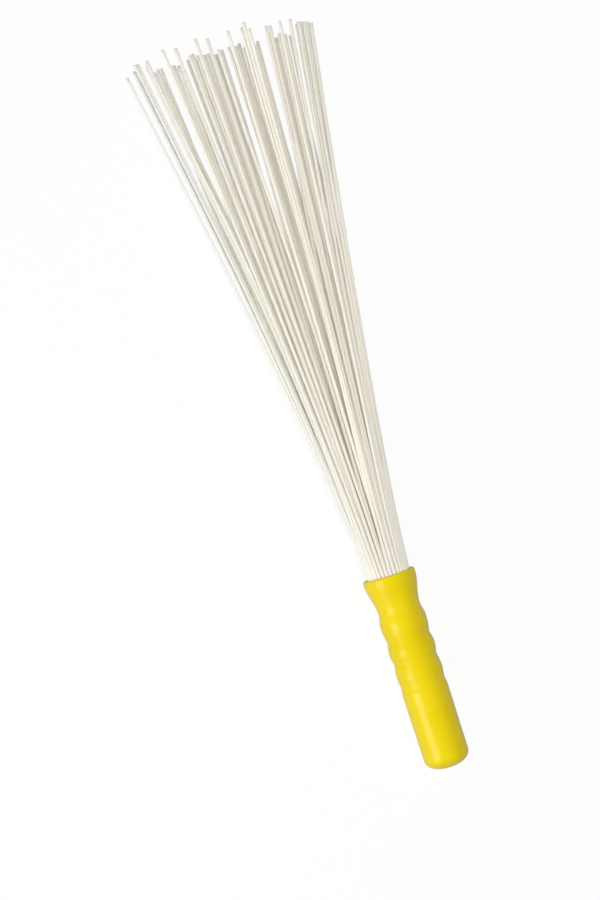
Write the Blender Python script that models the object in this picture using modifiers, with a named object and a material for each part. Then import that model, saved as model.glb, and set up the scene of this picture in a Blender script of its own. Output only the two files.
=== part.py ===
"""A whisk-like hand brush: round cane rods that fan out of a moulded handle with finger grooves.

Metres, +Z up. The brush lies on the floor, with its handle along +Y and the rods' tips in front.
The origin is on the floor, under the middle of the whole brush.
"""

from math import asin, cos, floor, pi, sin, sqrt, tau

import bpy

# The moulded handle: a turned shell, closed at the butt and open at the mouth
HANDLE_LENGTH = 0.159
GRIP_RADIUS = 0.01825
NECK_RADIUS = 0.0171
MOUTH_RADIUS = 0.0213
WALL_AT_NECK = 0.00225
WALL_AT_MOUTH = 0.0036
LIP_ROUNDING = 0.0014
BUTT_FLAT_RADIUS = 0.004
BUTT_ROUNDING_DEPTH = 0.0095
BORE_DEPTH = 0.109
FLARE_DEPTH = 0.030

# The grip from the shank over the finger swells: place along the handle as a share of its
# length, radius as a share of GRIP_RADIUS, and how far a groove's floor is pinched
GRIP_SHARES = (
    (0.065, 0.999, 0.0),
    (0.381, 1.014, 0.0),
    (0.408, 1.014, 0.0),
    (0.433, 0.972, 0.6),
    (0.495, 1.022, 0.0),
    (0.556, 0.955, 0.6),
    (0.617, 1.029, 0.0),
    (0.670, 0.946, 0.6),
    (0.741, 1.027, 0.0),
    (0.759, 1.028, 0.0),
)
NECK_PLACE_SHARE = 0.821
COLLAR_PLACE_SHARE = 0.982

# The cane rods, in two rings round a core that spreads them
ROD_DIAMETER = 0.0025
ROD_REACH = 0.4395
ROD_SIDE_GAP = 0.0001
ROD_BOW = 0.006
FAN_HALF_WIDTH = 0.077
FAN_RISE = 0.062
FAN_SPREAD_POWER = 1.2
FREE_STRETCH_SHARES = (0.08, 0.20, 0.34, 0.50, 0.66, 0.83, 1.0)

# The hidden pieces that hold the rods
GLUE_THICKNESS = 0.006
CORE_RECESS = 0.001
CORE_ROUNDING = 0.001

# Running clearances
SEAT_GAP = 0.0003
FLOOR_GAP = 0.00005

# Facets
TURNED_STEPS = 48
CORE_STEPS = 32
GROOVE_STEPS = 5
ARC_STEPS = 4
BUTT_STEPS = 8

# Rods, going round from the right side, over the top to the left side and back underneath.
# Across is the tip's place as a share of the fan's half width. Height is a share of the rise
# above the handle's axis, or of the drop to the floor where it is negative. Reach is a share
# of ROD_REACH. Bow is how far the rod bends aside half way along, as a share of ROD_BOW.
OUTER_ROD_SHARES = (
    (0.986, 0.18, 0.990, 0.09), (0.912, 0.30, 0.991, 0.24), (0.853, 0.35, 0.992, -0.35),
    (0.776, 0.40, 0.998, -0.19), (0.650, 0.78, 0.990, 0.45), (0.507, 0.73, 0.988, 0.12),
    (0.294, 0.96, 1.000, 0.49), (0.261, 0.72, 0.997, 0.79), (-0.097, 0.69, 0.997, -0.25),
    (-0.218, 0.85, 1.000, -0.01), (-0.435, 0.89, 0.996, -0.08), (-0.565, 1.00, 1.000, -0.07),
    (-0.752, 0.65, 0.999, 1.00), (-0.876, 0.74, 0.999, 0.34), (-0.914, 0.27, 1.000, 0.18),
    (-1.004, 0.25, 0.995, 0.18), (-0.879, -0.44, 0.992, 0.13), (-0.693, -0.75, 0.997, 0.18),
    (-0.643, -1.00, 1.003, -0.73), (-0.503, -0.66, 0.995, -0.74), (-0.457, -0.91, 0.996, -0.05),
    (-0.349, -0.81, 0.999, -0.13), (-0.252, -0.78, 0.993, -0.26), (-0.160, -0.75, 0.997, -0.11),
    (-0.042, -0.81, 0.992, -0.22), (0.029, -0.99, 0.999, -0.45), (0.108, -1.00, 1.000, 0.20),
    (0.221, -0.95, 1.000, -0.14), (0.415, -1.00, 0.995, 0.24), (0.614, -0.97, 0.992, -0.30),
    (0.763, -0.98, 0.990, 0.56), (0.967, -0.17, 1.000, -0.14),
)
INNER_ROD_SHARES = (
    (0.902, 0.06, 0.999, 0.08), (0.840, 0.16, 0.995, 0.55), (0.554, 0.10, 0.990, -0.92),
    (0.549, 0.66, 0.989, 0.28), (0.332, 0.85, 0.990, 0.47), (0.126, 0.67, 1.000, 0.11),
    (-0.017, 0.22, 0.984, 0.68), (-0.315, 0.10, 0.995, -0.22), (-0.283, 0.02, 0.998, -0.21),
    (-0.513, 0.26, 0.984, -0.11), (-0.771, 0.59, 0.993, 0.62), (-0.853, 0.50, 1.004, 0.24),
    (-0.728, -0.23, 0.994, -0.47), (-0.681, -0.49, 0.999, 0.84), (-0.464, -0.61, 0.990, -0.14),
    (-0.438, -0.50, 0.987, 0.91), (-0.240, -0.38, 0.997, 0.20), (-0.120, -0.61, 0.996, 0.09),
    (0.010, -0.21, 0.988, -0.26), (0.144, -0.66, 0.995, -0.31), (0.179, -0.60, 0.993, 0.16),
    (0.258, -0.58, 0.986, 0.11), (0.387, -0.31, 0.984, 0.16), (0.653, -0.59, 0.995, 0.02),
    (0.707, -0.31, 0.988, 0.59),
)

# Sizes that follow from the ones above
ROD_RADIUS = ROD_DIAMETER / 2
BORE_RADIUS = NECK_RADIUS - WALL_AT_NECK
MOUTH_BORE_RADIUS = MOUTH_RADIUS - WALL_AT_MOUTH
BORE_FLOOR = HANDLE_LENGTH - BORE_DEPTH
FLARE_START = HANDLE_LENGTH - FLARE_DEPTH
GLUE_FACE = BORE_FLOOR + SEAT_GAP + GLUE_THICKNESS
ROD_START = GLUE_FACE + SEAT_GAP
RING_STEP = ROD_DIAMETER + SEAT_GAP
OUTER_RING_RADIUS = BORE_RADIUS - SEAT_GAP - ROD_RADIUS
INNER_RING_RADIUS = OUTER_RING_RADIUS - RING_STEP
OUTER_MOUTH_RADIUS = MOUTH_BORE_RADIUS - SEAT_GAP - ROD_RADIUS
INNER_MOUTH_RADIUS = OUTER_MOUTH_RADIUS - RING_STEP
CORE_RADIUS = INNER_RING_RADIUS - ROD_RADIUS - SEAT_GAP
CORE_MOUTH_RADIUS = INNER_MOUTH_RADIUS - ROD_RADIUS - SEAT_GAP
AXIS_HEIGHT = MOUTH_RADIUS
FAN_DROP = AXIS_HEIGHT - ROD_RADIUS - FLOOR_GAP


def clear_scene():
    """Start from a scene that holds nothing."""
    for thing in list(bpy.data.objects):
        bpy.data.objects.remove(thing, do_unlink=True)


def make_collection(name):
    collection = bpy.data.collections.new(name)
    bpy.context.scene.collection.children.link(collection)
    return collection


def make_material(name, colour, roughness, metallic=0.0):
    """One Principled finish with a plain colour."""
    material = bpy.data.materials.new(name)
    material.use_nodes = True
    shader = material.node_tree.nodes["Principled BSDF"]
    shader.inputs["Base Color"].default_value = (*colour, 1.0)
    shader.inputs["Roughness"].default_value = roughness
    shader.inputs["Metallic"].default_value = metallic
    return material


def blend(low, high, share):
    return low + (high - low) * share


def eased(share, upper_pinch, lower_pinch):
    """0 to 1, level at both ends where they aren't pinched, and steep where they are."""
    wave = (1 - cos(pi * share)) / 2
    wave = blend(wave, 1 - (1 - share) ** 2, upper_pinch)
    return blend(wave, share ** 2, lower_pinch)


def quarter_arc(centre, radii, first_angle, steps):
    """Points (radius, along) a quarter turn clockwise from first_angle, on an ellipse."""
    points = []
    for step in range(steps + 1):
        angle = first_angle - pi / 2 * step / steps
        points.append((centre[0] + radii[0] * cos(angle), centre[1] + radii[1] * sin(angle)))
    return points


def turned_piece(name, outline, steps, material, collection, carrier):
    """A solid of revolution about the handle's axis, from (radius, along) points.

    The outline is drawn in the local XZ plane, and the piece is then laid over so that its
    own Z axis runs along the handle.
    """
    mesh = bpy.data.meshes.new(name)
    edges = [(place, place + 1) for place in range(len(outline) - 1)]
    mesh.from_pydata([(radius, 0, along) for radius, along in outline], edges, [])
    piece = bpy.data.objects.new(name, mesh)
    collection.objects.link(piece)
    piece.parent = carrier
    piece.rotation_euler = (-pi / 2, 0, 0)
    mesh.materials.append(material)
    screw = piece.modifiers.new("turn", "SCREW")
    screw.axis = "Z"
    screw.angle = tau
    screw.steps = steps
    screw.render_steps = steps
    screw.use_merge_vertices = True
    screw.merge_threshold = SEAT_GAP / 10
    screw.use_smooth_shade = True
    return piece


def grip_outline():
    """The handle's outer side from the mouth's collar down to the end of the shank."""
    stations = [(MOUTH_RADIUS, COLLAR_PLACE_SHARE * HANDLE_LENGTH, 0)]
    stations.append((NECK_RADIUS, NECK_PLACE_SHARE * HANDLE_LENGTH, 0))
    for place, radius, pinch in reversed(GRIP_SHARES):
        stations.append((radius * GRIP_RADIUS, place * HANDLE_LENGTH, pinch))
    points = []
    for upper, lower in zip(stations, stations[1:]):
        for step in range(GROOVE_STEPS):
            share = step / GROOVE_STEPS
            sink = eased(share, upper[2], lower[2])
            radius = blend(upper[0], lower[0], sink)
            points.append((radius, blend(upper[1], lower[1], share)))
    points.append(stations[-1][:2])
    return points


def handle_outline():
    """From the bore's floor up the bore, over the lip and down the outside to the butt."""
    lip_top = HANDLE_LENGTH - LIP_ROUNDING
    round_both = (LIP_ROUNDING, LIP_ROUNDING)
    inner_centre = (MOUTH_BORE_RADIUS + LIP_ROUNDING, lip_top)
    outer_centre = (MOUTH_RADIUS - LIP_ROUNDING, lip_top)
    shank_end = GRIP_SHARES[0][1] * GRIP_RADIUS
    butt_centre = (BUTT_FLAT_RADIUS, BUTT_ROUNDING_DEPTH)
    butt_radii = (shank_end - BUTT_FLAT_RADIUS, BUTT_ROUNDING_DEPTH)
    points = [(0, BORE_FLOOR), (BORE_RADIUS, BORE_FLOOR), (BORE_RADIUS, FLARE_START)]
    points += quarter_arc(inner_centre, round_both, pi, ARC_STEPS)
    points += quarter_arc(outer_centre, round_both, pi / 2, ARC_STEPS)
    points += grip_outline()
    points += quarter_arc(butt_centre, butt_radii, 0, BUTT_STEPS)
    points.append((0, 0))
    return points


def core_outline():
    """A tapered plug: its tail stands on the glue, its wide head spreads the inner ring."""
    head = HANDLE_LENGTH - CORE_RECESS
    depth_share = (CORE_RECESS + CORE_ROUNDING) / FLARE_DEPTH
    head_radius = blend(CORE_MOUTH_RADIUS, CORE_RADIUS, depth_share)
    points = [(0, head), (head_radius - CORE_ROUNDING, head)]
    rounding_centre = (head_radius - CORE_ROUNDING, head - CORE_ROUNDING)
    points += quarter_arc(rounding_centre, (CORE_ROUNDING, CORE_ROUNDING), pi / 2, ARC_STEPS)[1:]
    points += [(CORE_RADIUS, FLARE_START), (CORE_RADIUS, ROD_START), (0, ROD_START)]
    return points


def glue_outline():
    """A disc of set glue on the bore's floor, that every rod stands on."""
    edge = BORE_RADIUS - SEAT_GAP
    bottom = BORE_FLOOR + SEAT_GAP
    return [(0, GLUE_FACE), (edge, GLUE_FACE), (edge, bottom), (0, bottom)]


def rods_in_ring(ring_radius):
    """As many rods as fit side by side round a ring."""
    return floor(pi / asin((ROD_DIAMETER + ROD_SIDE_GAP) / (2 * ring_radius)))


def rod_shares_at(turn, shares):
    """A rod's shares for a place round the ring, read between the rows of its table."""
    place = turn * len(shares) - 0.5
    row = floor(place)
    before = shares[row % len(shares)]
    after = shares[(row + 1) % len(shares)]
    return [blend(low, high, place - row) for low, high in zip(before, after)]


def rod_points(turn, ring_radius, mouth_radius, shares):
    """A rod's middle line: straight in the bore, spread at the mouth, curving out to its tip.

    The bow is a squared sine, so it bends neither the rod's mouth end nor its tip.
    """
    way = (cos(tau * turn), sin(tau * turn))
    across_share, height_share, reach_share, bow_share = rod_shares_at(turn, shares)
    mouth = (mouth_radius * way[0], mouth_radius * way[1])
    fan_height = FAN_RISE if height_share > 0 else FAN_DROP
    tip = (across_share * (FAN_HALF_WIDTH - ROD_RADIUS), height_share * fan_height)
    sideways = (tip[0] - mouth[0], tip[1] - mouth[1])
    along = sqrt((reach_share * ROD_REACH) ** 2 - sideways[0] ** 2 - sideways[1] ** 2)
    points = [
        (ring_radius * way[0], ROD_START, ring_radius * way[1]),
        (ring_radius * way[0], FLARE_START, ring_radius * way[1]),
        (mouth[0], HANDLE_LENGTH, mouth[1]),
    ]
    for share in FREE_STRETCH_SHARES:
        spread = share ** FAN_SPREAD_POWER
        bow = bow_share * ROD_BOW * sin(pi * share) ** 2
        points.append((
            mouth[0] + spread * sideways[0] + bow,
            HANDLE_LENGTH + share * along,
            mouth[1] + spread * sideways[1],
        ))
    return points


def ring_of_rods(ring_radius, mouth_radius, shares):
    count = rods_in_ring(ring_radius)
    return [
        rod_points((rod + 0.5) / count, ring_radius, mouth_radius, shares)
        for rod in range(count)
    ]


def rod_piece(name, points, material, collection, carrier):
    """One round rod, cut square at both ends."""
    curve = bpy.data.curves.new(name, "CURVE")
    curve.dimensions = "3D"
    curve.bevel_depth = ROD_RADIUS
    curve.bevel_resolution = 2
    curve.use_fill_caps = True
    spline = curve.splines.new("POLY")
    spline.points.add(len(points) - 1)
    for spline_point, place in zip(spline.points, points):
        spline_point.co = (*place, 1)
    curve.materials.append(material)
    rod = bpy.data.objects.new(name, curve)
    collection.objects.link(rod)
    rod.parent = carrier
    return rod


def make_brush():
    clear_scene()
    collection = make_collection("hand_brush")
    yellow = make_material("yellow_plastic", (0.84, 0.66, 0.02), 0.42)
    cane = make_material("pale_cane", (0.80, 0.75, 0.64), 0.55)
    wood = make_material("core_wood", (0.62, 0.45, 0.27), 0.65)
    glue = make_material("set_glue", (0.72, 0.60, 0.35), 0.35)

    outer_rods = ring_of_rods(OUTER_RING_RADIUS, OUTER_MOUTH_RADIUS, OUTER_ROD_SHARES)
    inner_rods = ring_of_rods(INNER_RING_RADIUS, INNER_MOUTH_RADIUS, INNER_ROD_SHARES)
    brush_length = max(points[-1][1] for points in outer_rods + inner_rods)

    carrier = bpy.data.objects.new("butt_centre", None)
    collection.objects.link(carrier)
    carrier.location = (0, -brush_length / 2, AXIS_HEIGHT)

    turned_piece("handle", handle_outline(), TURNED_STEPS, yellow, collection, carrier)
    turned_piece("core_wedge", core_outline(), CORE_STEPS, wood, collection, carrier)
    turned_piece("glue_bed", glue_outline(), CORE_STEPS, glue, collection, carrier)
    for ring, rods in (("outer", outer_rods), ("inner", inner_rods)):
        for number, points in enumerate(rods, start=1):
            rod_piece(f"rod_{ring}_{number:02d}", points, cane, collection, carrier)
    print(f"{len(outer_rods)} outer and {len(inner_rods)} inner rods,",
          f"brush {brush_length:.4f} m long")


make_brush()
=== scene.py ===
# %% [markdown]
# # A whisk-like hand brush
#
# The real object is two things: a fan of thin cane rods, and a yellow moulded handle that
# holds them. Nothing on it moves except by bending, so every piece rides on one body, "root".
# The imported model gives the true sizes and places. This script dresses it: each solid that
# shows gets a finer surface in the same place, and every surface gets a worked-out finish.

from math import cos, pi, radians, sin, tau

import bpy
import numpy as np
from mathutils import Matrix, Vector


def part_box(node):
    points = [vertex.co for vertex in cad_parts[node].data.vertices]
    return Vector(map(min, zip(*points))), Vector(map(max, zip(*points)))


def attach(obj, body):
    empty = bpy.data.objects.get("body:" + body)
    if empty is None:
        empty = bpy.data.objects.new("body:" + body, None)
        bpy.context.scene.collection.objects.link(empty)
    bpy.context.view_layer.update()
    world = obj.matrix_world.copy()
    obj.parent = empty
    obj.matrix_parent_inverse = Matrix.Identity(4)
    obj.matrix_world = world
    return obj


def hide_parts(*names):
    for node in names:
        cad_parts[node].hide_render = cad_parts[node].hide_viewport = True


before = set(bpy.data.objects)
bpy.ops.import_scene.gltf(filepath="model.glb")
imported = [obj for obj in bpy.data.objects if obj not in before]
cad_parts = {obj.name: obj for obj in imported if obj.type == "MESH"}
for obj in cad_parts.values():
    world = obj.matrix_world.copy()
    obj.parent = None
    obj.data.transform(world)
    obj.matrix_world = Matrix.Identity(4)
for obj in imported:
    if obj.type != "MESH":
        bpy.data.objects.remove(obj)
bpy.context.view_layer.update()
HANDLE_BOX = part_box("handle")
BUTT_Y = HANDLE_BOX[0].y
AXIS_HEIGHT = (HANDLE_BOX[0].z + HANDLE_BOX[1].z) / 2
print("nodes:", len(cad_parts), "butt at y =", round(BUTT_Y, 4))

# %% [markdown]
# ## The camera
#
# The photograph was taken from straight above. A camera without a turn looks down its own Z
# axis, so only a turn about Z is needed to lay the brush across the frame. The lens could be
# tried out by eye, but it also follows from the frame: the long side of the picture covers a
# known length at a known distance.

# %% Camera straight above the brush
CAMERA_HEIGHT = 1.5
FRAME_LENGTH = 0.711
SENSOR_LENGTH = 36.0
CAMERA_X = -0.0362
CAMERA_AHEAD_OF_BUTT = 0.2738
CAMERA_TURN = -17.83


def make_camera():
    """A camera over the brush that looks straight down."""
    data = bpy.data.cameras.new("camera_above")
    data.sensor_width = SENSOR_LENGTH
    data.lens = SENSOR_LENGTH * CAMERA_HEIGHT / FRAME_LENGTH
    camera = bpy.data.objects.new("camera_above", data)
    bpy.context.scene.collection.objects.link(camera)
    camera.location = (CAMERA_X, BUTT_Y + CAMERA_AHEAD_OF_BUTT, AXIS_HEIGHT + CAMERA_HEIGHT)
    camera.rotation_euler = (0, 0, radians(CAMERA_TURN))
    bpy.context.scene.camera = camera
    return camera


camera = make_camera()
print("lens:", round(camera.data.lens, 1), "mm")

# %% [markdown]
# ## Surfaces from grids
#
# Both the handle and the rods are a profile carried round or along a line. Spin, Screw and
# bevelled curves would make them too, but a grid of points says exactly where the skin lies:
# rows run along the piece and columns run round it. The columns close on themselves, and a
# single point, a pole, closes each end, so the skin is watertight.

# %% The faces of a grid
def closed_grid_faces(rows, columns):
    """Faces of a tube of rows by columns points that a pole closes at each end.

    Point (i, j) has the number 1 + i * columns + j. Number 0 is the first pole and the last
    number is the second. Each quad joins (i, j), (i, j+1), (i+1, j+1) and (i+1, j), and each
    pole is joined to its row by triangles.
    """
    row, column = np.meshgrid(np.arange(rows - 1), np.arange(columns), indexing="ij")
    here = 1 + row * columns + column
    beside = 1 + row * columns + (column + 1) % columns
    quads = np.stack([here, here + columns, beside + columns, beside], -1).reshape(-1, 4)
    first = 1 + np.arange(columns)
    first_next = 1 + (np.arange(columns) + 1) % columns
    start = np.stack([np.zeros_like(first), first, first_next], -1)
    last = first + (rows - 1) * columns
    last_next = first_next + (rows - 1) * columns
    end = np.stack([np.full_like(last, rows * columns + 1), last_next, last], -1)
    return quads.tolist() + start.tolist() + end.tolist()


print("faces of 3 rows by 4 columns:", len(closed_grid_faces(3, 4)))

# %% From points and faces to a piece
CREASE_ANGLE = 38


def make_piece(name, points, faces, material):
    """A mesh piece at the origin that rides on the only body. Its place is in its points."""
    mesh = bpy.data.meshes.new(name)
    mesh.from_pydata(points, [], faces)
    mesh.polygons.foreach_set("use_smooth", np.ones(len(mesh.polygons), bool))
    mesh.set_sharp_from_angle(angle=radians(CREASE_ANGLE))
    mesh.materials.append(material)
    mesh.update()
    piece = bpy.data.objects.new(name, mesh)
    bpy.context.scene.collection.objects.link(piece)
    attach(piece, "root")
    return piece


def turned_surface(profile, columns):
    """Turns (radius, along) rows about the handle's axis.

    x = radius * cos(a), z = radius * sin(a) above the axis, and y = along from the butt, for
    turns a from 0 to a full circle. The first and last rows are poles on the axis.
    """
    turn = tau * np.arange(columns) / columns
    radius, along = profile[1:-1, :1], profile[1:-1, 1:]
    x = radius * np.cos(turn)
    z = AXIS_HEIGHT + radius * np.sin(turn)
    y = BUTT_Y + along + np.zeros_like(turn)
    body = np.stack([x, y, z], -1).reshape(-1, 3)
    poles = [[0, BUTT_Y + profile[end, 1], AXIS_HEIGHT] for end in (0, -1)]
    points = np.concatenate([poles[:1], body, poles[1:]])
    return points, closed_grid_faces(len(profile) - 2, columns)


# %% [markdown]
# ## Finishes as trees of nodes
#
# A real surface is never one flat colour. A picture of it could be wrapped round the piece,
# but a tree of nodes needs no picture and works at any distance: a noise gives every point a
# share from 0 to 1, and the share is turned into a colour, a roughness or a height. These
# helpers build such trees in few lines.

# %% Nodes, noises and ramps
def start_material(name):
    """A node material with its Principled shader, ready for a pattern."""
    material = bpy.data.materials.new(name)
    material.use_nodes = True
    tree = material.node_tree
    return material, tree, tree.nodes["Principled BSDF"]


def add_node(tree, kind, links=(), **values):
    """A node with its inputs set by name, and links from other nodes' outputs by input name."""
    node = tree.nodes.new(kind)
    for name, value in values.items():
        setattr(node, name, value)
    for socket, source in dict(links).items():
        if hasattr(source, "is_linked"):
            tree.links.new(source, node.inputs[socket])
        else:
            node.inputs[socket].default_value = source
    return node


def ramp(tree, source, stops):
    """A colour ramp over (place, colour) stops."""
    node = add_node(tree, "ShaderNodeValToRGB", {0: source})
    elements = node.color_ramp.elements
    while len(elements) < len(stops):
        elements.new(1.0)
    for element, (place, colour) in zip(elements, stops):
        element.position = place
        element.color = (*colour, 1.0)
    return node.outputs["Color"]


def spread(tree, source, low, high, first=0.0, last=1.0):
    """A share spread between two values: low at first, and high at last."""
    links = {"Value": source, "From Min": first, "From Max": last, "To Min": low, "To Max": high}
    return add_node(tree, "ShaderNodeMapRange", links).outputs["Result"]


def object_place(tree):
    """Every point's place on the object, in metres."""
    return add_node(tree, "ShaderNodeTexCoord").outputs["Object"]


def stretched(tree, place, scale, shift=(0, 0, 0)):
    """The place with each of its axes scaled, so that spots become streaks, then moved."""
    links = {"Vector": place, "Location": shift, "Scale": scale}
    return add_node(tree, "ShaderNodeMapping", links).outputs["Vector"]


def combine(tree, way, *values):
    """Numbers or other nodes' outputs, combined by a Math node."""
    links = dict(enumerate(values))
    return add_node(tree, "ShaderNodeMath", links, operation=way).outputs[0]


def noise(tree, place, scale, detail, roughness=0.5):
    """A share that wanders from place to place. A higher scale makes smaller spots."""
    links = {"Vector": place, "Scale": scale, "Detail": detail, "Roughness": roughness}
    return add_node(tree, "ShaderNodeTexNoise", links).outputs["Fac"]


def mix_colours(tree, share, first, second):
    """The first colour where the share is 0, and the second where it is 1."""
    node = tree.nodes.new("ShaderNodeMix")
    node.data_type = "RGBA"
    for socket, value in (("Factor_Float", share), ("A_Color", first), ("B_Color", second)):
        target = next(i for i in node.inputs if i.identifier == socket)
        if hasattr(value, "is_linked"):
            tree.links.new(value, target)
        else:
            target.default_value = value
    return next(o for o in node.outputs if o.identifier == "Result_Color")


def bump(tree, height, distance, strength):
    """A normal that leans as if the surface stood up by height times distance."""
    links = {"Height": height, "Distance": distance, "Strength": strength}
    return add_node(tree, "ShaderNodeBump", links).outputs["Normal"]


# %% [markdown]
# ## The handle's plastic
#
# The handle is one moulding in a bright, half-glossy yellow. Moulded plastic is never quite
# even: the skin undulates a little, as an orange's does, the pigment drifts very slightly, and
# use dulls it in patches. A painted map could hold all that, but three noises on Object
# coordinates, each at its own size, do it at any distance.

# %% Yellow moulded plastic
YELLOW_DRIFT = [
    (0.30, (0.88, 0.664, 0.003)), (0.50, (0.90, 0.698, 0.004)), (0.72, (0.92, 0.724, 0.006)),
]
PEEL_SCALE, DRIFT_SCALE, DULLING_SCALE = 900.0, 28.0, 60.0
PEEL_DEPTH, PEEL_STRENGTH = 0.00006, 0.35
LEAST_DULL, MOST_DULL = 0.25, 0.33
PLASTIC_GLOSS = 0.38


def yellow_plastic():
    """Pigment drift in the colour, dulling in the roughness, and orange peel in the bump."""
    material, tree, shader = start_material("yellow_plastic")
    place = object_place(tree)
    drift = noise(tree, place, DRIFT_SCALE, detail=2.0)
    tree.links.new(ramp(tree, drift, YELLOW_DRIFT), shader.inputs["Base Color"])
    dulling = noise(tree, place, DULLING_SCALE, detail=4.0)
    roughness = spread(tree, dulling, LEAST_DULL, MOST_DULL)
    tree.links.new(roughness, shader.inputs["Roughness"])
    peel = noise(tree, place, PEEL_SCALE, detail=2.0)
    normal = bump(tree, peel, PEEL_DEPTH, PEEL_STRENGTH)
    tree.links.new(normal, shader.inputs["Normal"])
    shader.inputs["Specular IOR Level"].default_value = PLASTIC_GLOSS
    return material


YELLOW_PLASTIC = yellow_plastic()
print("plastic:", len(YELLOW_PLASTIC.node_tree.nodes), "nodes")

# %% [markdown]
# ## The handle's shape
#
# A turned form is a profile swung round an axis. The profile goes up the bore, over the
# rounded lip, down the flared neck, through three finger swells with grooves between them,
# along the straight shank and round the butt. Each stretch between two stations is a half
# cosine wave, which starts and ends level. The grooves of a moulded grip are narrower than
# its swells, so the wave is pinched there and a glint stays on each swell. A lathed curve with
# handles would do it too, but stations are numbers that can be read off and changed one by one.

# %% Sizes and stations of the handle
HANDLE_LENGTH = 0.159
GRIP_RADIUS, NECK_RADIUS, MOUTH_RADIUS = 0.01825, 0.0171, 0.0213
BORE_RADIUS, MOUTH_BORE_RADIUS = 0.01485, 0.0177
BORE_FLOOR, FLARE_START = 0.050, 0.129
LIP_ROUNDING = 0.0014
BUTT_FLAT_RADIUS, BUTT_ROUNDING_DEPTH = 0.004, 0.0095

# Each station is its place as a share of the handle's length from the butt, its radius as a
# share of the grip's, and how far the wave is pinched there.
GRIP_STATIONS = np.array([
    (0.982, MOUTH_RADIUS / GRIP_RADIUS, 0), (0.821, NECK_RADIUS / GRIP_RADIUS, 0),
    (0.759, 1.028, 0), (0.741, 1.027, 0), (0.670, 0.946, 0.6), (0.617, 1.029, 0),
    (0.556, 0.955, 0.6), (0.495, 1.022, 0), (0.433, 0.972, 0.4), (0.404, 1.014, 0),
    (0.381, 1.014, 0), (0.065, 0.999, 0),
])
print("handle:", HANDLE_LENGTH, "m long,", len(GRIP_STATIONS), "stations")

# %% The curves that a profile is made of
def eased(share, upper_pinch, lower_pinch):
    """From 0 to 1 as a half cosine wave, blended with a parabola towards a pinched end.

    The wave is (1 - cos(pi * s)) / 2. The parabola is s squared where the lower end is
    pinched, and 1 - (1 - s) squared where the upper end is.
    """
    wave = (1 - np.cos(pi * share)) / 2
    wave += ((1 - (1 - share) ** 2) - wave) * upper_pinch
    return wave + (share ** 2 - wave) * lower_pinch


def arc(centre, radii, first, last, count):
    """Rows on an ellipse: centre + radii * (cos a, sin a), for a from first to last degrees."""
    angle = np.radians(np.linspace(first, last, count))[:, None]
    return np.array(centre) + np.array(radii) * np.concatenate([np.cos(angle), np.sin(angle)], 1)


def straight(start, end, count):
    """Evenly spaced rows between two points, without the last."""
    share = np.linspace(0, 1, count, endpoint=False)[:, None]
    return np.array(start) * (1 - share) + np.array(end) * share


# %% The handle's profile
GRIP_ROWS = 340


def grip_radius(place):
    """The grip's radius at places along it, with one wave between each two stations."""
    lower = np.clip(np.searchsorted(-GRIP_STATIONS[:, 0], -place), 1, len(GRIP_STATIONS) - 1)
    start, end = GRIP_STATIONS[lower - 1], GRIP_STATIONS[lower]
    share = (place - start[..., 0]) / (end[..., 0] - start[..., 0])
    sink = eased(np.clip(share, 0, 1), start[..., 2], end[..., 2])
    return GRIP_RADIUS * (start[..., 1] + (end[..., 1] - start[..., 1]) * sink)


def grip_profile():
    """The outer side from the collar to the end of the shank."""
    place = np.linspace(GRIP_STATIONS[0, 0], GRIP_STATIONS[-1, 0], GRIP_ROWS)
    return np.stack([grip_radius(place), HANDLE_LENGTH * place], 1)


def handle_profile():
    """Rows of (radius, along): up the bore, over the lip, down the grip and round the butt.

    The last number of each stretch is its count of rows.
    """
    lip_y = HANDLE_LENGTH - LIP_ROUNDING
    lip = (LIP_ROUNDING, LIP_ROUNDING)
    shank_radius = GRIP_STATIONS[-1, 1] * GRIP_RADIUS
    shank_end = GRIP_STATIONS[-1, 0] * HANDLE_LENGTH
    butt_radii = (shank_radius - BUTT_FLAT_RADIUS, BUTT_ROUNDING_DEPTH)
    return np.concatenate([
        straight((0, BORE_FLOOR), (BORE_RADIUS, BORE_FLOOR), 5),
        straight((BORE_RADIUS, BORE_FLOOR), (BORE_RADIUS, FLARE_START), 8),
        straight((BORE_RADIUS, FLARE_START), (MOUTH_BORE_RADIUS, lip_y), 8),
        arc((MOUTH_BORE_RADIUS + LIP_ROUNDING, lip_y), lip, 180, 90, 9)[:-1],
        arc((MOUTH_RADIUS - LIP_ROUNDING, lip_y), lip, 90, 0, 9),
        grip_profile(),
        straight((shank_radius, shank_end), (shank_radius, BUTT_ROUNDING_DEPTH), 3),
        arc((BUTT_FLAT_RADIUS, BUTT_ROUNDING_DEPTH), butt_radii, 0, -90, 18),
        straight((BUTT_FLAT_RADIUS, 0), (0, 0), 3)[1:],
        [(0, 0)],
    ])


print("profile:", len(handle_profile()), "rows")

# %% The handle
HANDLE_COLUMNS = 144


def make_handle():
    """The profile turned about the handle's axis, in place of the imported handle."""
    points, faces = turned_surface(handle_profile(), HANDLE_COLUMNS)
    piece = make_piece("yellow_handle", points, faces, YELLOW_PLASTIC)
    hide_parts("handle")
    return piece


handle = make_handle()
print("handle:", len(handle.data.polygons), "faces")
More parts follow.
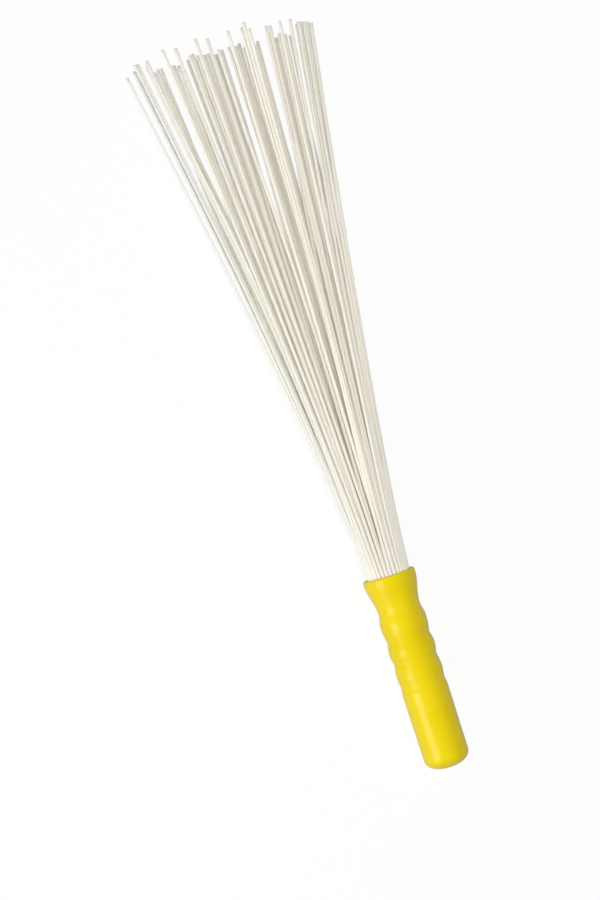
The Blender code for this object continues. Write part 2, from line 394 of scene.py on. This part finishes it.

# %% [markdown]
# ## The cane of the rods
#
# Cane is pale and dry. Its fibres run the length of the rod, so colour and bump are noises
# that are stretched along it. A pattern that bends with the rod can't use Object coordinates:
# every point carries its own place on a straightened rod instead, as a vector attribute. A UV
# map could carry it too, but it would need a seam, and a place round a rod needs none. Each
# rod also has a tone of its own, from a pale one to a warm one, and its sawn ends are a little
# browner. The rods at the brush's left get a cool grey tone instead. That is painted shade,
# which holds down the soft box's light on that side.

# %% Pale cane
# The first stop, a cool grey, is painted shade for the rods at the brush's left. The others are
# the rods' own tones.
CANE_TONES = [
    (0.00, (0.88, 0.875, 0.85)), (0.15, (0.92, 0.895, 0.80)), (0.38, (0.935, 0.91, 0.835)),
    (0.60, (0.935, 0.91, 0.845)), (0.82, (0.935, 0.89, 0.81)), (1.00, (0.925, 0.865, 0.785)),
]
CANE_STREAK = (0.85, 0.785, 0.64, 1.0)
CANE_MOTTLE = (0.91, 0.875, 0.76, 1.0)
CANE_SAWN = (0.60, 0.57, 0.51, 1.0)
FIBRE_SCALE, FIBRE_STRETCH = 2600.0, (1, 1, 0.03)
MOTTLE_SCALE, MOTTLE_STRETCH = 420.0, (1, 1, 0.12)
MOTTLE_SPREAD = (-0.55, 0.95)
MOST_STREAK, STREAK_FIRST, STREAK_LAST = 0.55, 0.56, 0.78
FIBRE_DEPTH, FIBRE_STRENGTH = 0.00004, 0.5
CANE_ROUGHNESS = (0.55, 0.80)
CANE_GLOSS, CANE_CHALKINESS = 0.15, 0.5


def rod_attribute(tree, name, output):
    """What the rods' points carry under a name."""
    return add_node(tree, "ShaderNodeAttribute", attribute_name=name).outputs[output]


def cane():
    """The rod's tone, then mottling, streaks of fibre and the brown of sawn ends over it."""
    material, tree, shader = start_material("pale_cane")
    place = rod_attribute(tree, "rod_place", "Vector")
    fibre_place = stretched(tree, place, FIBRE_STRETCH)
    fibre = noise(tree, fibre_place, FIBRE_SCALE, detail=4.0, roughness=0.6)
    mottle = noise(tree, stretched(tree, place, MOTTLE_STRETCH), MOTTLE_SCALE, detail=2.0)
    # The rod's tone holds painted shade: a cool grey at the brush's left.
    colour = ramp(tree, rod_attribute(tree, "rod_tone_and_shade", "Fac"), CANE_TONES)
    colour = mix_colours(tree, spread(tree, mottle, *MOTTLE_SPREAD), colour, CANE_MOTTLE)
    streak = spread(tree, fibre, 0.0, MOST_STREAK, STREAK_FIRST, STREAK_LAST)
    colour = mix_colours(tree, streak, colour, CANE_STREAK)
    colour = mix_colours(tree, rod_attribute(tree, "rod_end", "Fac"), colour, CANE_SAWN)
    tree.links.new(colour, shader.inputs["Base Color"])
    tree.links.new(spread(tree, fibre, *CANE_ROUGHNESS), shader.inputs["Roughness"])
    normal = bump(tree, fibre, FIBRE_DEPTH, FIBRE_STRENGTH)
    tree.links.new(normal, shader.inputs["Normal"])
    shader.inputs["Specular IOR Level"].default_value = CANE_GLOSS
    shader.inputs["Diffuse Roughness"].default_value = CANE_CHALKINESS
    return material


CANE = cane()
print("cane:", len(CANE.node_tree.nodes), "nodes")

# %% [markdown]
# ## The rods
#
# The rods are split cane, rounded and bleached, that bends out of the mouth into a fan. A
# bevelled curve would make a rod, but it would be equally thick all along. Here each rod's
# middle line is read from its own solid, whose rings of points lie a few centimetres apart:
# the middle of each ring is a point of the line. A smooth cubic through those points gives the
# real curve of a bent cane, and a nearly round section is carried along it.

# %% The middle line of a rod
ROD_RADIUS = 0.00125
RING_GAP = 0.002


def middle_line(node):
    """Middles of the rings of points that a rod's solid is made of, from its foot to its tip.

    Points are sorted along the brush. A jump of more than RING_GAP starts a new ring.
    """
    points = np.empty(len(node.data.vertices) * 3, np.float32)
    node.data.vertices.foreach_get("co", points)
    points = np.unique(points.reshape(-1, 3).round(6), axis=0)
    points = points[np.argsort(points[:, 1])]
    starts = np.flatnonzero(np.diff(points[:, 1]) > RING_GAP) + 1
    return np.array([ring.mean(0) for ring in np.split(points, starts)])


def smooth_line(knots, places):
    """A cubic curve through the knots, at shares of its length, and the length of its chords.

    Between two knots it is their places and slopes blended by Hermite's polynomials.
    """
    chord = np.append(0, np.cumsum(np.linalg.norm(np.diff(knots, axis=0), axis=1)))
    slopes = np.gradient(knots, chord, axis=0)
    at = np.clip(places, 0, 1) * chord[-1]
    low = np.clip(np.searchsorted(chord, at, side="right") - 1, 0, len(chord) - 2)
    step = (chord[low + 1] - chord[low])[:, None]
    t = (at - chord[low])[:, None] / step
    line = (knots[low] * (2 * t**3 - 3 * t**2 + 1) + knots[low + 1] * (3 * t**2 - 2 * t**3)
            + slopes[low] * step * (t**3 - 2 * t**2 + t) + slopes[low + 1] * step * (t**3 - t**2))
    return line, chord[-1]


sample_knots = middle_line(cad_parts["rod_outer_01"])
print("first outer rod:", len(sample_knots), "rings,",
      round(smooth_line(sample_knots, np.zeros(1))[1], 4), "m long")

# %% [markdown]
# ### How thick a rod is
#
# Cut cane is a little thicker or thinner here and there, and never quite round. Noise on the
# points would make it lumpy, so the unevenness is a few long waves, with two and three soft
# lobes round the section. Near the mouth the real rods are pressed against each other, where
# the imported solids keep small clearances, so the rods are drawn a little thicker there.

# %% Thickness along and round a rod
END_CHAMFER, FACE_SHARE = 0.00014, 0.45
UNEVENNESS, WAVE_PACE = 0.03, 1.7
OVAL_LOBES, OVAL_TWIST, THREE_LOBES = 0.022, 2, 0.012
MOUTH_SWELL = 0.09
MOUTH_SWELL_PLACES, MOUTH_SWELL_SHARES = (0.07, 0.10, 0.22, 0.45), (0, 1, 1, 0)


def waves(draws, share):
    """A smooth unevenness from -1 to 1 along a rod: the mean of sines of rising frequency."""
    count = np.arange(1, len(draws) + 1)[:, None]
    return np.sin(tau * (count * WAVE_PACE * share[None] + draws[:, None])).mean(0)


def rod_radius(share, length, turn, draws):
    """The radius at every point of a rod's grid, one row for each share of its length.

    It is ROD_RADIUS times 1 + thickness(i) + lobes(i, a), drawn in at the two end faces.
    thickness is waves and a swelling outside the mouth. lobes is a cosine of twice the turn,
    which twists slowly along the rod, and a smaller one of three times the turn.
    """
    drawn_in = np.ones(len(share))
    drawn_in[[0, -1]] = FACE_SHARE
    drawn_in[[1, -2]] = 1 - END_CHAMFER / ROD_RADIUS
    swell = MOUTH_SWELL * np.interp(share * length, MOUTH_SWELL_PLACES, MOUTH_SWELL_SHARES)
    thickness = (UNEVENNESS * waves(draws[:4], share) + swell)[:, None]
    lobes = OVAL_LOBES * np.cos(2 * turn + tau * draws[4] + OVAL_TWIST * share[:, None])
    lobes = lobes + THREE_LOBES * np.cos(3 * turn + tau * draws[5])
    return ROD_RADIUS * drawn_in[:, None] * (1 + thickness + lobes)


# %% One rod swept along its line
ROD_SECTIONS, ROD_SIDES = 84, 18
END_ROWS = 4


def rod_axes(knots, share):
    """Unit vectors across the line, kept level, and up from it, at shares of its length."""
    even = np.linspace(0, 1, len(share))
    ahead = np.gradient(smooth_line(knots, even)[0], axis=0)
    ahead = np.stack([np.interp(share, even, part) for part in ahead.T], 1)
    ahead /= np.linalg.norm(ahead, axis=1)[:, None]
    across = np.array([1.0, 0, 0]) - ahead * ahead[:, :1]
    across /= np.linalg.norm(across, axis=1)[:, None]
    return across, np.cross(across, ahead)


def sweep_rod(knots, draws):
    """Carries a nearly round section along the middle line.

    Point (i, j) is line(i) + r(i, j) * (cos a * across(i) + sin a * up(i)), where across and up
    are square to the line, and r is the radius there. Two rows make each end face and its
    chamfer, and the other rows are evenly spaced.
    """
    length = np.linalg.norm(np.diff(knots, axis=0), axis=1).sum()
    inner = np.linspace(0, 1, ROD_SECTIONS)
    chamfer = END_CHAMFER / length
    share = np.concatenate([[0, 0], chamfer + (1 - 2 * chamfer) * inner, [1, 1]])
    line, length = smooth_line(knots, share)
    across, up = rod_axes(knots, share)
    turn = tau * np.arange(ROD_SIDES) / ROD_SIDES
    radius = rod_radius(share, length, turn, draws)
    around = np.cos(turn)[:, None] * across[:, None] + np.sin(turn)[:, None] * up[:, None]
    body = line[:, None] + radius[..., None] * around
    points = np.concatenate([line[:1], body.reshape(-1, 3), line[-1:]])
    return points, share, turn, length


# %% What a rod's points carry
END_STAIN = 0.0006
SIDE_STAIN_SHARE, FACE_STAIN_SHARE = 0.35, 0.7


def rod_attributes(mesh, share, turn, length, number, tone):
    """Each point's place on the straightened rod, its tone and painted shade, and how near a sawn
    end is.

    The straightened rods lie end to end, a metre apart by their number, so that no two have
    the same pattern. The stain fades from an end as exp(-distance / END_STAIN).
    """
    along = share * length
    flat = np.stack(np.broadcast_arrays(
        ROD_RADIUS * np.cos(turn), ROD_RADIUS * np.sin(turn), along[:, None] + number), -1)
    place = np.concatenate([[[0, 0, number]], flat.reshape(-1, 3), [[0, 0, number + length]]])
    end = np.exp(-np.minimum(along, length - along) / END_STAIN)
    end = np.repeat(end, len(turn)) * SIDE_STAIN_SHARE
    end = np.concatenate([[FACE_STAIN_SHARE], end, [FACE_STAIN_SHARE]])
    carried = [("rod_place", "FLOAT_VECTOR", "vector", place),
               ("rod_tone_and_shade", "FLOAT", "value", np.full(len(place), tone)),
               ("rod_end", "FLOAT", "value", end)]
    for name, kind, field, values in carried:
        layer = mesh.attributes.new(name, kind, "POINT")
        layer.data.foreach_set(field, values.astype(np.float32).ravel())


# %% All rods
# Over this span at the brush's left, the rods' tone fades into a cool grey, which is painted
# shade.
SHADED_LEFT_SIDE, LEAST_WARM_TONE = (-0.065, -0.035), 0.15

# Each rod has seven draws: four for its waves, two for its lobes and one for its tone.
ROD_SEED, DRAWS_PER_ROD = 57, 7

rod_names = sorted(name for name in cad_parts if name.startswith("rod_"))
rod_random = np.random.default_rng(ROD_SEED)
rod_draws = rod_random.random((len(rod_names), DRAWS_PER_ROD))


def rod_tone_and_shade(tip_x, draw):
    """A rod's tone by its draw, with painted shade: the rods at the brush's left get a cool grey.
    """
    unshaded = np.interp(tip_x, SHADED_LEFT_SIDE, (0, 1))
    return unshaded * (LEAST_WARM_TONE + (1 - LEAST_WARM_TONE) * draw)


def make_rods():
    """A swept rod in place of each packed one, all with the same faces."""
    faces = closed_grid_faces(ROD_SECTIONS + END_ROWS, ROD_SIDES)
    for number, (name, draws) in enumerate(zip(rod_names, rod_draws)):
        knots = middle_line(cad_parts[name])
        points, share, turn, length = sweep_rod(knots, draws)
        piece = make_piece(name.replace("rod_", "cane_"), points, faces, CANE)
        # Painted shade: the rods at the brush's left get a cool grey tone.
        tone = rod_tone_and_shade(knots[-1, 0], draws[6])
        rod_attributes(piece.data, share, turn, length, number, tone)
        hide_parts(name)
    return len(faces)


rod_faces = make_rods()
print("rods:", len(rod_names), "with", rod_faces, "faces each")

# %% [markdown]
# ## The core plug and the glue
#
# Something has to hold the rods apart, so a tapered wooden plug sits in the middle of them,
# with its head just inside the mouth. It is turned, so it is a profile swung round the axis as
# the handle is. Only its head can be seen, from in front, so that is where its rounded edge
# and end grain matter. The grain is a wave texture in rings round the axis, bent by noise, as
# years of growth are. The rods stand over a pool of set glue at the bottom of the bore. Its
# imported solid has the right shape, so it stays and only gets an amber finish.

# %% Turned wood
WOOD_LIGHT, WOOD_DARK = (0.66, 0.50, 0.31), (0.44, 0.29, 0.15)
WOOD_RINGS = [(0.15, WOOD_DARK), (0.75, WOOD_LIGHT)]
PITH_SHIFT, GRAIN_STRETCH = (0.004, 0, -AXIS_HEIGHT - 0.003), (1, 0.06, 1)
RING_SCALE, RING_DISTORTION, RING_DETAIL, RING_DETAIL_SCALE = 260.0, 3.0, 3.0, 1.2
WOOD_FIBRE_SCALE, MOST_WOOD_FIBRE = 1800.0, 0.45
WOOD_FIBRE_DEPTH, WOOD_FIBRE_STRENGTH = 0.0002, 0.5
WOOD_ROUGHNESS = (0.55, 0.75)


def turned_wood():
    """Rings of growth a little off the axis, darkened by fibres that also roughen them."""
    material, tree, shader = start_material("turned_wood")
    place = stretched(tree, object_place(tree), GRAIN_STRETCH, PITH_SHIFT)
    growth = add_node(tree, "ShaderNodeTexWave", {
        "Vector": place, "Scale": RING_SCALE, "Distortion": RING_DISTORTION,
        "Detail": RING_DETAIL, "Detail Scale": RING_DETAIL_SCALE,
    }, wave_type="RINGS", rings_direction="Y")
    fibre = noise(tree, place, WOOD_FIBRE_SCALE, detail=4.0)
    colour = ramp(tree, growth.outputs["Fac"], WOOD_RINGS)
    darkening = spread(tree, fibre, 0.0, MOST_WOOD_FIBRE)
    colour = mix_colours(tree, darkening, colour, (*WOOD_DARK, 1.0))
    tree.links.new(colour, shader.inputs["Base Color"])
    tree.links.new(spread(tree, fibre, *WOOD_ROUGHNESS), shader.inputs["Roughness"])
    normal = bump(tree, fibre, WOOD_FIBRE_DEPTH, WOOD_FIBRE_STRENGTH)
    tree.links.new(normal, shader.inputs["Normal"])
    return material


TURNED_WOOD = turned_wood()
print("wood:", len(TURNED_WOOD.node_tree.nodes), "nodes")

# %% Core plug
CORE_HEAD, CORE_HEAD_RADIUS, CORE_RADIUS, CORE_FOOT = 0.158, 0.01161, 0.00895, 0.0566
CORE_ROUNDING = 0.001
CORE_COLUMNS = 72


def core_profile():
    """Rows of (radius, along): flat head, small rounding, taper, straight tail and foot."""
    rounding = arc((CORE_HEAD_RADIUS - CORE_ROUNDING, CORE_HEAD - CORE_ROUNDING),
                   (CORE_ROUNDING, CORE_ROUNDING), 90, 0, 8)
    return np.concatenate([
        straight((0, CORE_HEAD), (CORE_HEAD_RADIUS - CORE_ROUNDING, CORE_HEAD), 5),
        rounding,
        straight((CORE_HEAD_RADIUS, CORE_HEAD - CORE_ROUNDING), (CORE_RADIUS, FLARE_START), 6)[1:],
        straight((CORE_RADIUS, FLARE_START), (CORE_RADIUS, CORE_FOOT), 10),
        straight((CORE_RADIUS, CORE_FOOT), (0, CORE_FOOT), 4),
        [(0, CORE_FOOT)],
    ])


core_points, core_faces = turned_surface(core_profile(), CORE_COLUMNS)
core = make_piece("core_plug", core_points, core_faces, TURNED_WOOD)
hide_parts("core_wedge")
print("core plug:", len(core.data.polygons), "faces")

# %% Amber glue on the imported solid
GLUE_CLOUDS = [(0.3, (0.55, 0.38, 0.14)), (0.7, (0.74, 0.60, 0.36))]
CLOUD_SCALE, CLOUD_DEPTH, CLOUD_STRENGTH = 220.0, 0.0004, 0.5
GLUE_ROUGHNESS = (0.22, 0.42)


def set_glue():
    """One noise clouds the amber, dulls it and wrinkles its skin."""
    material, tree, shader = start_material("amber_glue")
    cloud = noise(tree, object_place(tree), CLOUD_SCALE, detail=4.0)
    tree.links.new(ramp(tree, cloud, GLUE_CLOUDS), shader.inputs["Base Color"])
    tree.links.new(spread(tree, cloud, *GLUE_ROUGHNESS), shader.inputs["Roughness"])
    normal = bump(tree, cloud, CLOUD_DEPTH, CLOUD_STRENGTH)
    tree.links.new(normal, shader.inputs["Normal"])
    return material


AMBER_GLUE = set_glue()
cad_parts["glue_bed"].material_slots[0].material = AMBER_GLUE
print("glue:", len(AMBER_GLUE.node_tree.nodes), "nodes")

# %% [markdown]
# ## The floor
#
# The brush lies on a white floor. Lamps strong enough to make the floor burn white would burn
# the pale rods too. So the white comes from the kind of ray: a ray from the camera meets an
# emission of strength 1, with a little of the paint mixed in, which holds the faint shadow.
# Light that bounces meets plain pale paint and is thrown up at the rods. A ray that mirrors off
# a piece meets only a tenth of the white, because a wholly white floor in the handle's edges
# would wash out their yellow.

# %% Floor
FLOOR_SIZE = 12.0
FLOOR_BOUNCE, FLOOR_WHITE, FLOOR_ROUGHNESS = 0.68, 0.95, 0.9
WHITE_SHARE, MIRRORED_SHARE = 0.92, 0.10


def seen_rays(tree):
    """1 for rays from the camera, and 1 for those plus rays from mirrors and through glass."""
    path = tree.nodes.new("ShaderNodeLightPath")
    camera = path.outputs["Is Camera Ray"]
    seen = combine(tree, "MAXIMUM", camera, path.outputs["Is Glossy Ray"])
    return camera, combine(tree, "MAXIMUM", seen, path.outputs["Is Transmission Ray"])


def floor_material():
    """Pale paint, with white mixed in by WHITE_SHARE or MIRRORED_SHARE for rays that see it."""
    material, tree, shader = start_material("white_floor")
    camera, seen = seen_rays(tree)
    paint = spread(tree, camera, FLOOR_BOUNCE, FLOOR_WHITE)
    tree.links.new(paint, shader.inputs["Base Color"])
    shader.inputs["Roughness"].default_value = FLOOR_ROUGHNESS
    white = add_node(tree, "ShaderNodeEmission", {"Color": (1, 1, 1, 1), "Strength": 1.0})
    mirrored = combine(tree, "MULTIPLY", seen, MIRRORED_SHARE)
    share = combine(tree, "MULTIPLY_ADD", camera, WHITE_SHARE - MIRRORED_SHARE, mirrored)
    mixed = add_node(tree, "ShaderNodeMixShader", {
        0: share, 1: shader.outputs["BSDF"], 2: white.outputs["Emission"]})
    output = tree.nodes["Material Output"]
    tree.links.new(mixed.outputs["Shader"], output.inputs["Surface"])
    return material


def make_floor():
    """One square at the height that the brush lies on, which isn't part of the brush."""
    half = FLOOR_SIZE / 2
    corners = [(-half, -half, 0), (half, -half, 0), (half, half, 0), (-half, half, 0)]
    mesh = bpy.data.meshes.new("white_floor")
    mesh.from_pydata(corners, [], [(0, 1, 2, 3)])
    mesh.materials.append(floor_material())
    floor = bpy.data.objects.new("white_floor", mesh)
    bpy.context.scene.collection.objects.link(floor)


make_floor()
print("floor:", FLOOR_SIZE, "m square")

# %% [markdown]
# ## Sky and lamps
#
# Three lights do the work of a studio. A small lamp straight above reaches down between the
# rods, and nothing mirrors it, or it would draw a second highlight along the handle. A long
# soft box, high on the left, gives the handle its highlight. It has a brighter middle, in a
# lamp of its own, because such a box is never evenly bright. A dim, even sky fills the shadows.
# One wide lamp would be simpler, but then the rods' shading and the highlight couldn't be set
# apart. The camera sees the sky as white as the far floor, so no horizon shows.

# %% Sky
SKY_STRENGTH, SKY_WHITE = 0.185, 0.936


def make_sky():
    """An even, dim light from all round, which the camera sees as white as the far floor."""
    world = bpy.data.worlds.new("dim_sky")
    world.use_nodes = True
    tree = world.node_tree
    camera, seen = seen_rays(tree)
    mirrored = spread(tree, seen, SKY_STRENGTH, MIRRORED_SHARE)
    strength = combine(tree, "MULTIPLY_ADD", camera, SKY_WHITE - MIRRORED_SHARE, mirrored)
    sky = tree.nodes["Background"]
    sky.inputs["Color"].default_value = (1, 1, 1, 1)
    tree.links.new(strength, sky.inputs["Strength"])
    bpy.context.scene.world = world


make_sky()
print("sky:", SKY_STRENGTH, "bright")

# %% Lamps
TOP_LIGHT_SIZE, TOP_LIGHT_POWER, TOP_LIGHT_HEIGHT = (0.5, 0.5), 28.0, 2.2
SOFT_BOX_TILT, SOFT_BOX_Y = 51.0, -0.40
MIDDLE_SIZE, MIDDLE_POWER, MIDDLE_DISTANCE = (0.95, 0.60), 5.4, 1.6
LONG_SIZE, LONG_POWER, LONG_DISTANCE = (0.95, 2.9), 7.0, 1.7


def make_lamp(name, size, power, distance, tilt=0.0, ahead=0.0):
    """A rectangular lamp that faces the brush from a distance, tilted to the left of upright."""
    data = bpy.data.lights.new(name, "AREA")
    data.shape = "RECTANGLE"
    data.size, data.size_y = size
    data.energy = power
    lamp = bpy.data.objects.new(name, data)
    bpy.context.scene.collection.objects.link(lamp)
    turn = radians(tilt)
    lamp.location = (-distance * sin(turn), ahead, distance * cos(turn))
    lamp.rotation_euler = (0, -turn, 0)
    return lamp


def make_lamps():
    """A small top light that no surface mirrors, and a long soft box with a bright middle."""
    top = make_lamp("top_light", TOP_LIGHT_SIZE, TOP_LIGHT_POWER, TOP_LIGHT_HEIGHT)
    top.visible_glossy = False
    place = (SOFT_BOX_TILT, SOFT_BOX_Y)
    make_lamp("soft_box_middle", MIDDLE_SIZE, MIDDLE_POWER, MIDDLE_DISTANCE, *place)
    make_lamp("soft_box", LONG_SIZE, LONG_POWER, LONG_DISTANCE, *place)


make_lamps()
bpy.context.scene.view_settings.view_transform = "Standard"
